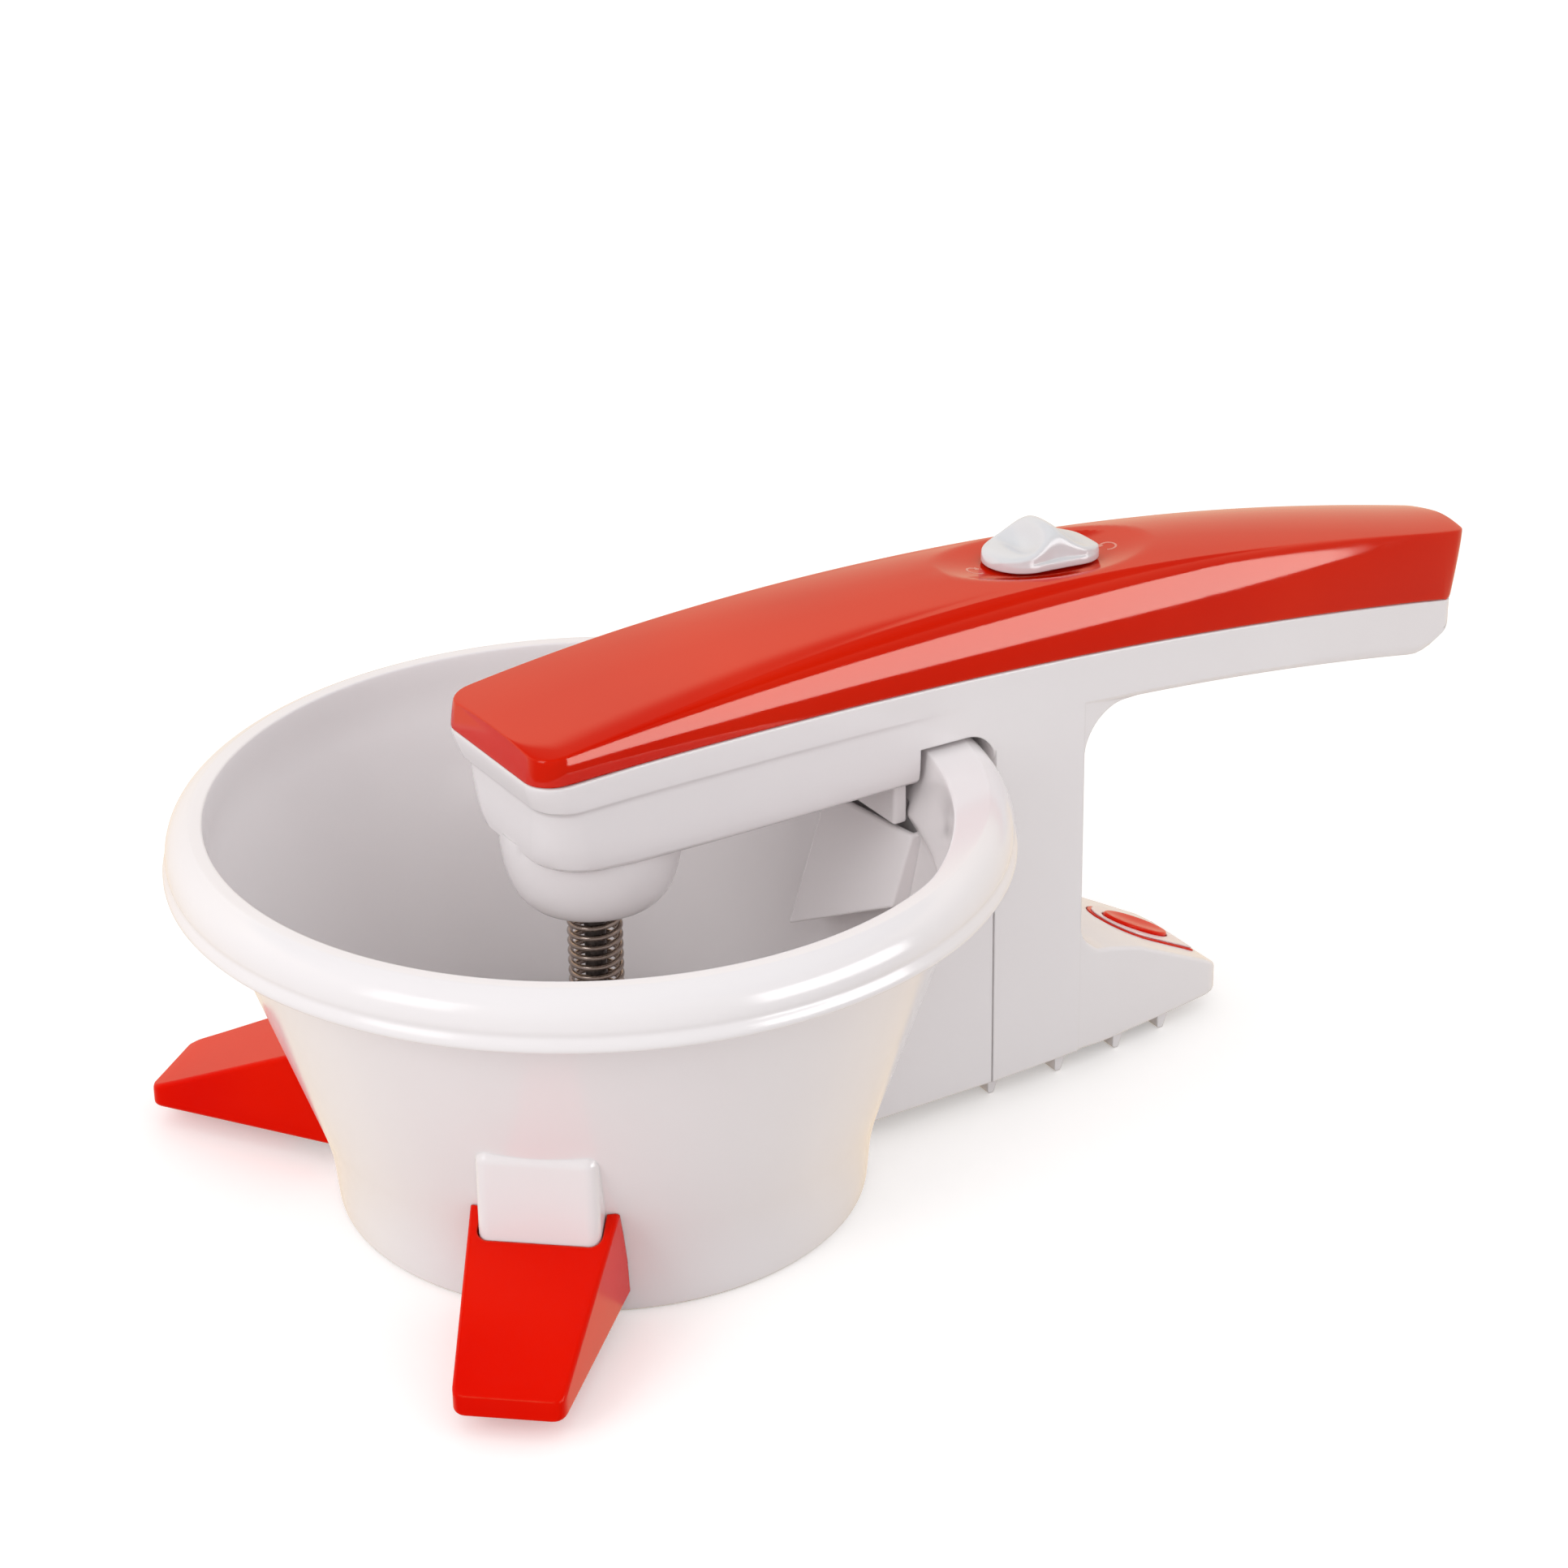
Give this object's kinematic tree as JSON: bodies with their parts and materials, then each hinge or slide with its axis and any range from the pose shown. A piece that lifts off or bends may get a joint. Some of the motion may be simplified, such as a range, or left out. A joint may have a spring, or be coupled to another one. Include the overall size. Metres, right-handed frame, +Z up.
{
  "type": "food mill",
  "caption": "Powered food mill: tapered white bowl on wedge feet, perforated disc, and a red-topped lift-off handle with a geared, sprung turning blade.",
  "frame": {"origin": "the middle of the footprint box, in the plane of the table the base ring stands on; the bowl's axis is 85.55 mm towards -X from it", "axes": "+X from the bowl's axis towards the free end of the handle, +Y across the handle, +Z up"},
  "size_m": [0.3998, 0.2288, 0.1596],
  "materials": {
    "white_shell": "gloss",
    "red_shell": "gloss",
    "pale_tongue": "gloss",
    "steel_sheet": "satin",
    "spring_steel": "oiled",
    "zinc_steel": "satin",
    "nylon_gear": "matte",
    "bronze_bush": "satin",
    "board_green": "matte",
    "black_moulding": "matte",
    "cell_wrap": "gloss"
  },
  "bodies": {
    "bowl": {"bowl": "white_shell", "milling_disc": "steel_sheet", "foot_near": "red_shell", "foot_far": "red_shell"},
    "motor_unit": {"motor_housing": "white_shell", "top_cover": "red_shell", "release_trim": "red_shell", "release_tongue": "pale_tongue", "release_spring": "spring_steel", "slide_switch": "black_moulding", "gearbox_plate": "zinc_steel", "worm_bearing": "bronze_bush", "upper_bush": "bronze_bush", "lower_bush": "bronze_bush", "motor": "zinc_steel", "wheel_axle": "zinc_steel", "battery_cell_1": "cell_wrap", "battery_cell_2": "cell_wrap", "circuit_board": "board_green", "charge_socket": "black_moulding", "cover_screw_1": "zinc_steel", "cover_screw_2": "zinc_steel", "cover_screw_3": "zinc_steel", "plate_screw_1": "zinc_steel", "plate_screw_2": "zinc_steel", "plate_screw_3": "zinc_steel"},
    "output": {"output_gear": "nylon_gear", "drive_socket": "zinc_steel", "compression_spring": "spring_steel"},
    "mixer": {"mixer_shaft": "zinc_steel", "blade_collar": "nylon_gear", "blade": "steel_sheet"},
    "wheel": {"worm_wheel": "nylon_gear"},
    "worm": {"worm": "zinc_steel"},
    "switch": {"switch_knob": "white_shell", "switch_lever": "nylon_gear"},
    "release": {"release_button": "red_shell"}
  },
  "joints": [
    {"name": "unit_lift", "type": "slide", "parent": "bowl", "child": "motor_unit", "axis": [0, 0, 1], "range_m": [0, 0.13]},
    {"name": "output_spin", "type": "hinge", "parent": "motor_unit", "child": "output", "pos_m": [-0.08555, 0, 0.1], "axis": [0, 0, 1], "continuous": true},
    {"name": "blade_float", "type": "slide", "parent": "output", "child": "mixer", "axis": [0, 0, 1], "range_m": [0, 0.006], "stiffness_N_per_m": 400, "springref_m": -0.01, "deforming": ["compression_spring"]},
    {"name": "wheel_spin", "type": "hinge", "parent": "motor_unit", "child": "wheel", "pos_m": [-0.06577, -0.0125, 0.118], "axis": [0, 0, 1], "continuous": true},
    {"name": "worm_spin", "type": "hinge", "parent": "motor_unit", "child": "worm", "pos_m": [-0.06577, 0, 0.125], "axis": [1, 0, 0], "continuous": true},
    {"name": "switch_slide", "type": "slide", "parent": "motor_unit", "child": "switch", "axis": [0.9984, 0, -0.0563], "range_m": [-0.005, 0.005]},
    {"name": "release_press", "type": "slide", "parent": "motor_unit", "child": "release", "axis": [-0.466, 0, -0.8848], "range_m": [0, 0.0025], "stiffness_N_per_m": 800, "springref_m": -0.002, "deforming": ["release_spring"]}
  ],
  "couplings": [
    {"joint": "wheel_spin", "follows": "output_spin", "ratio": -3.3333},
    {"joint": "worm_spin", "follows": "output_spin", "ratio": -53.333}
  ]
}
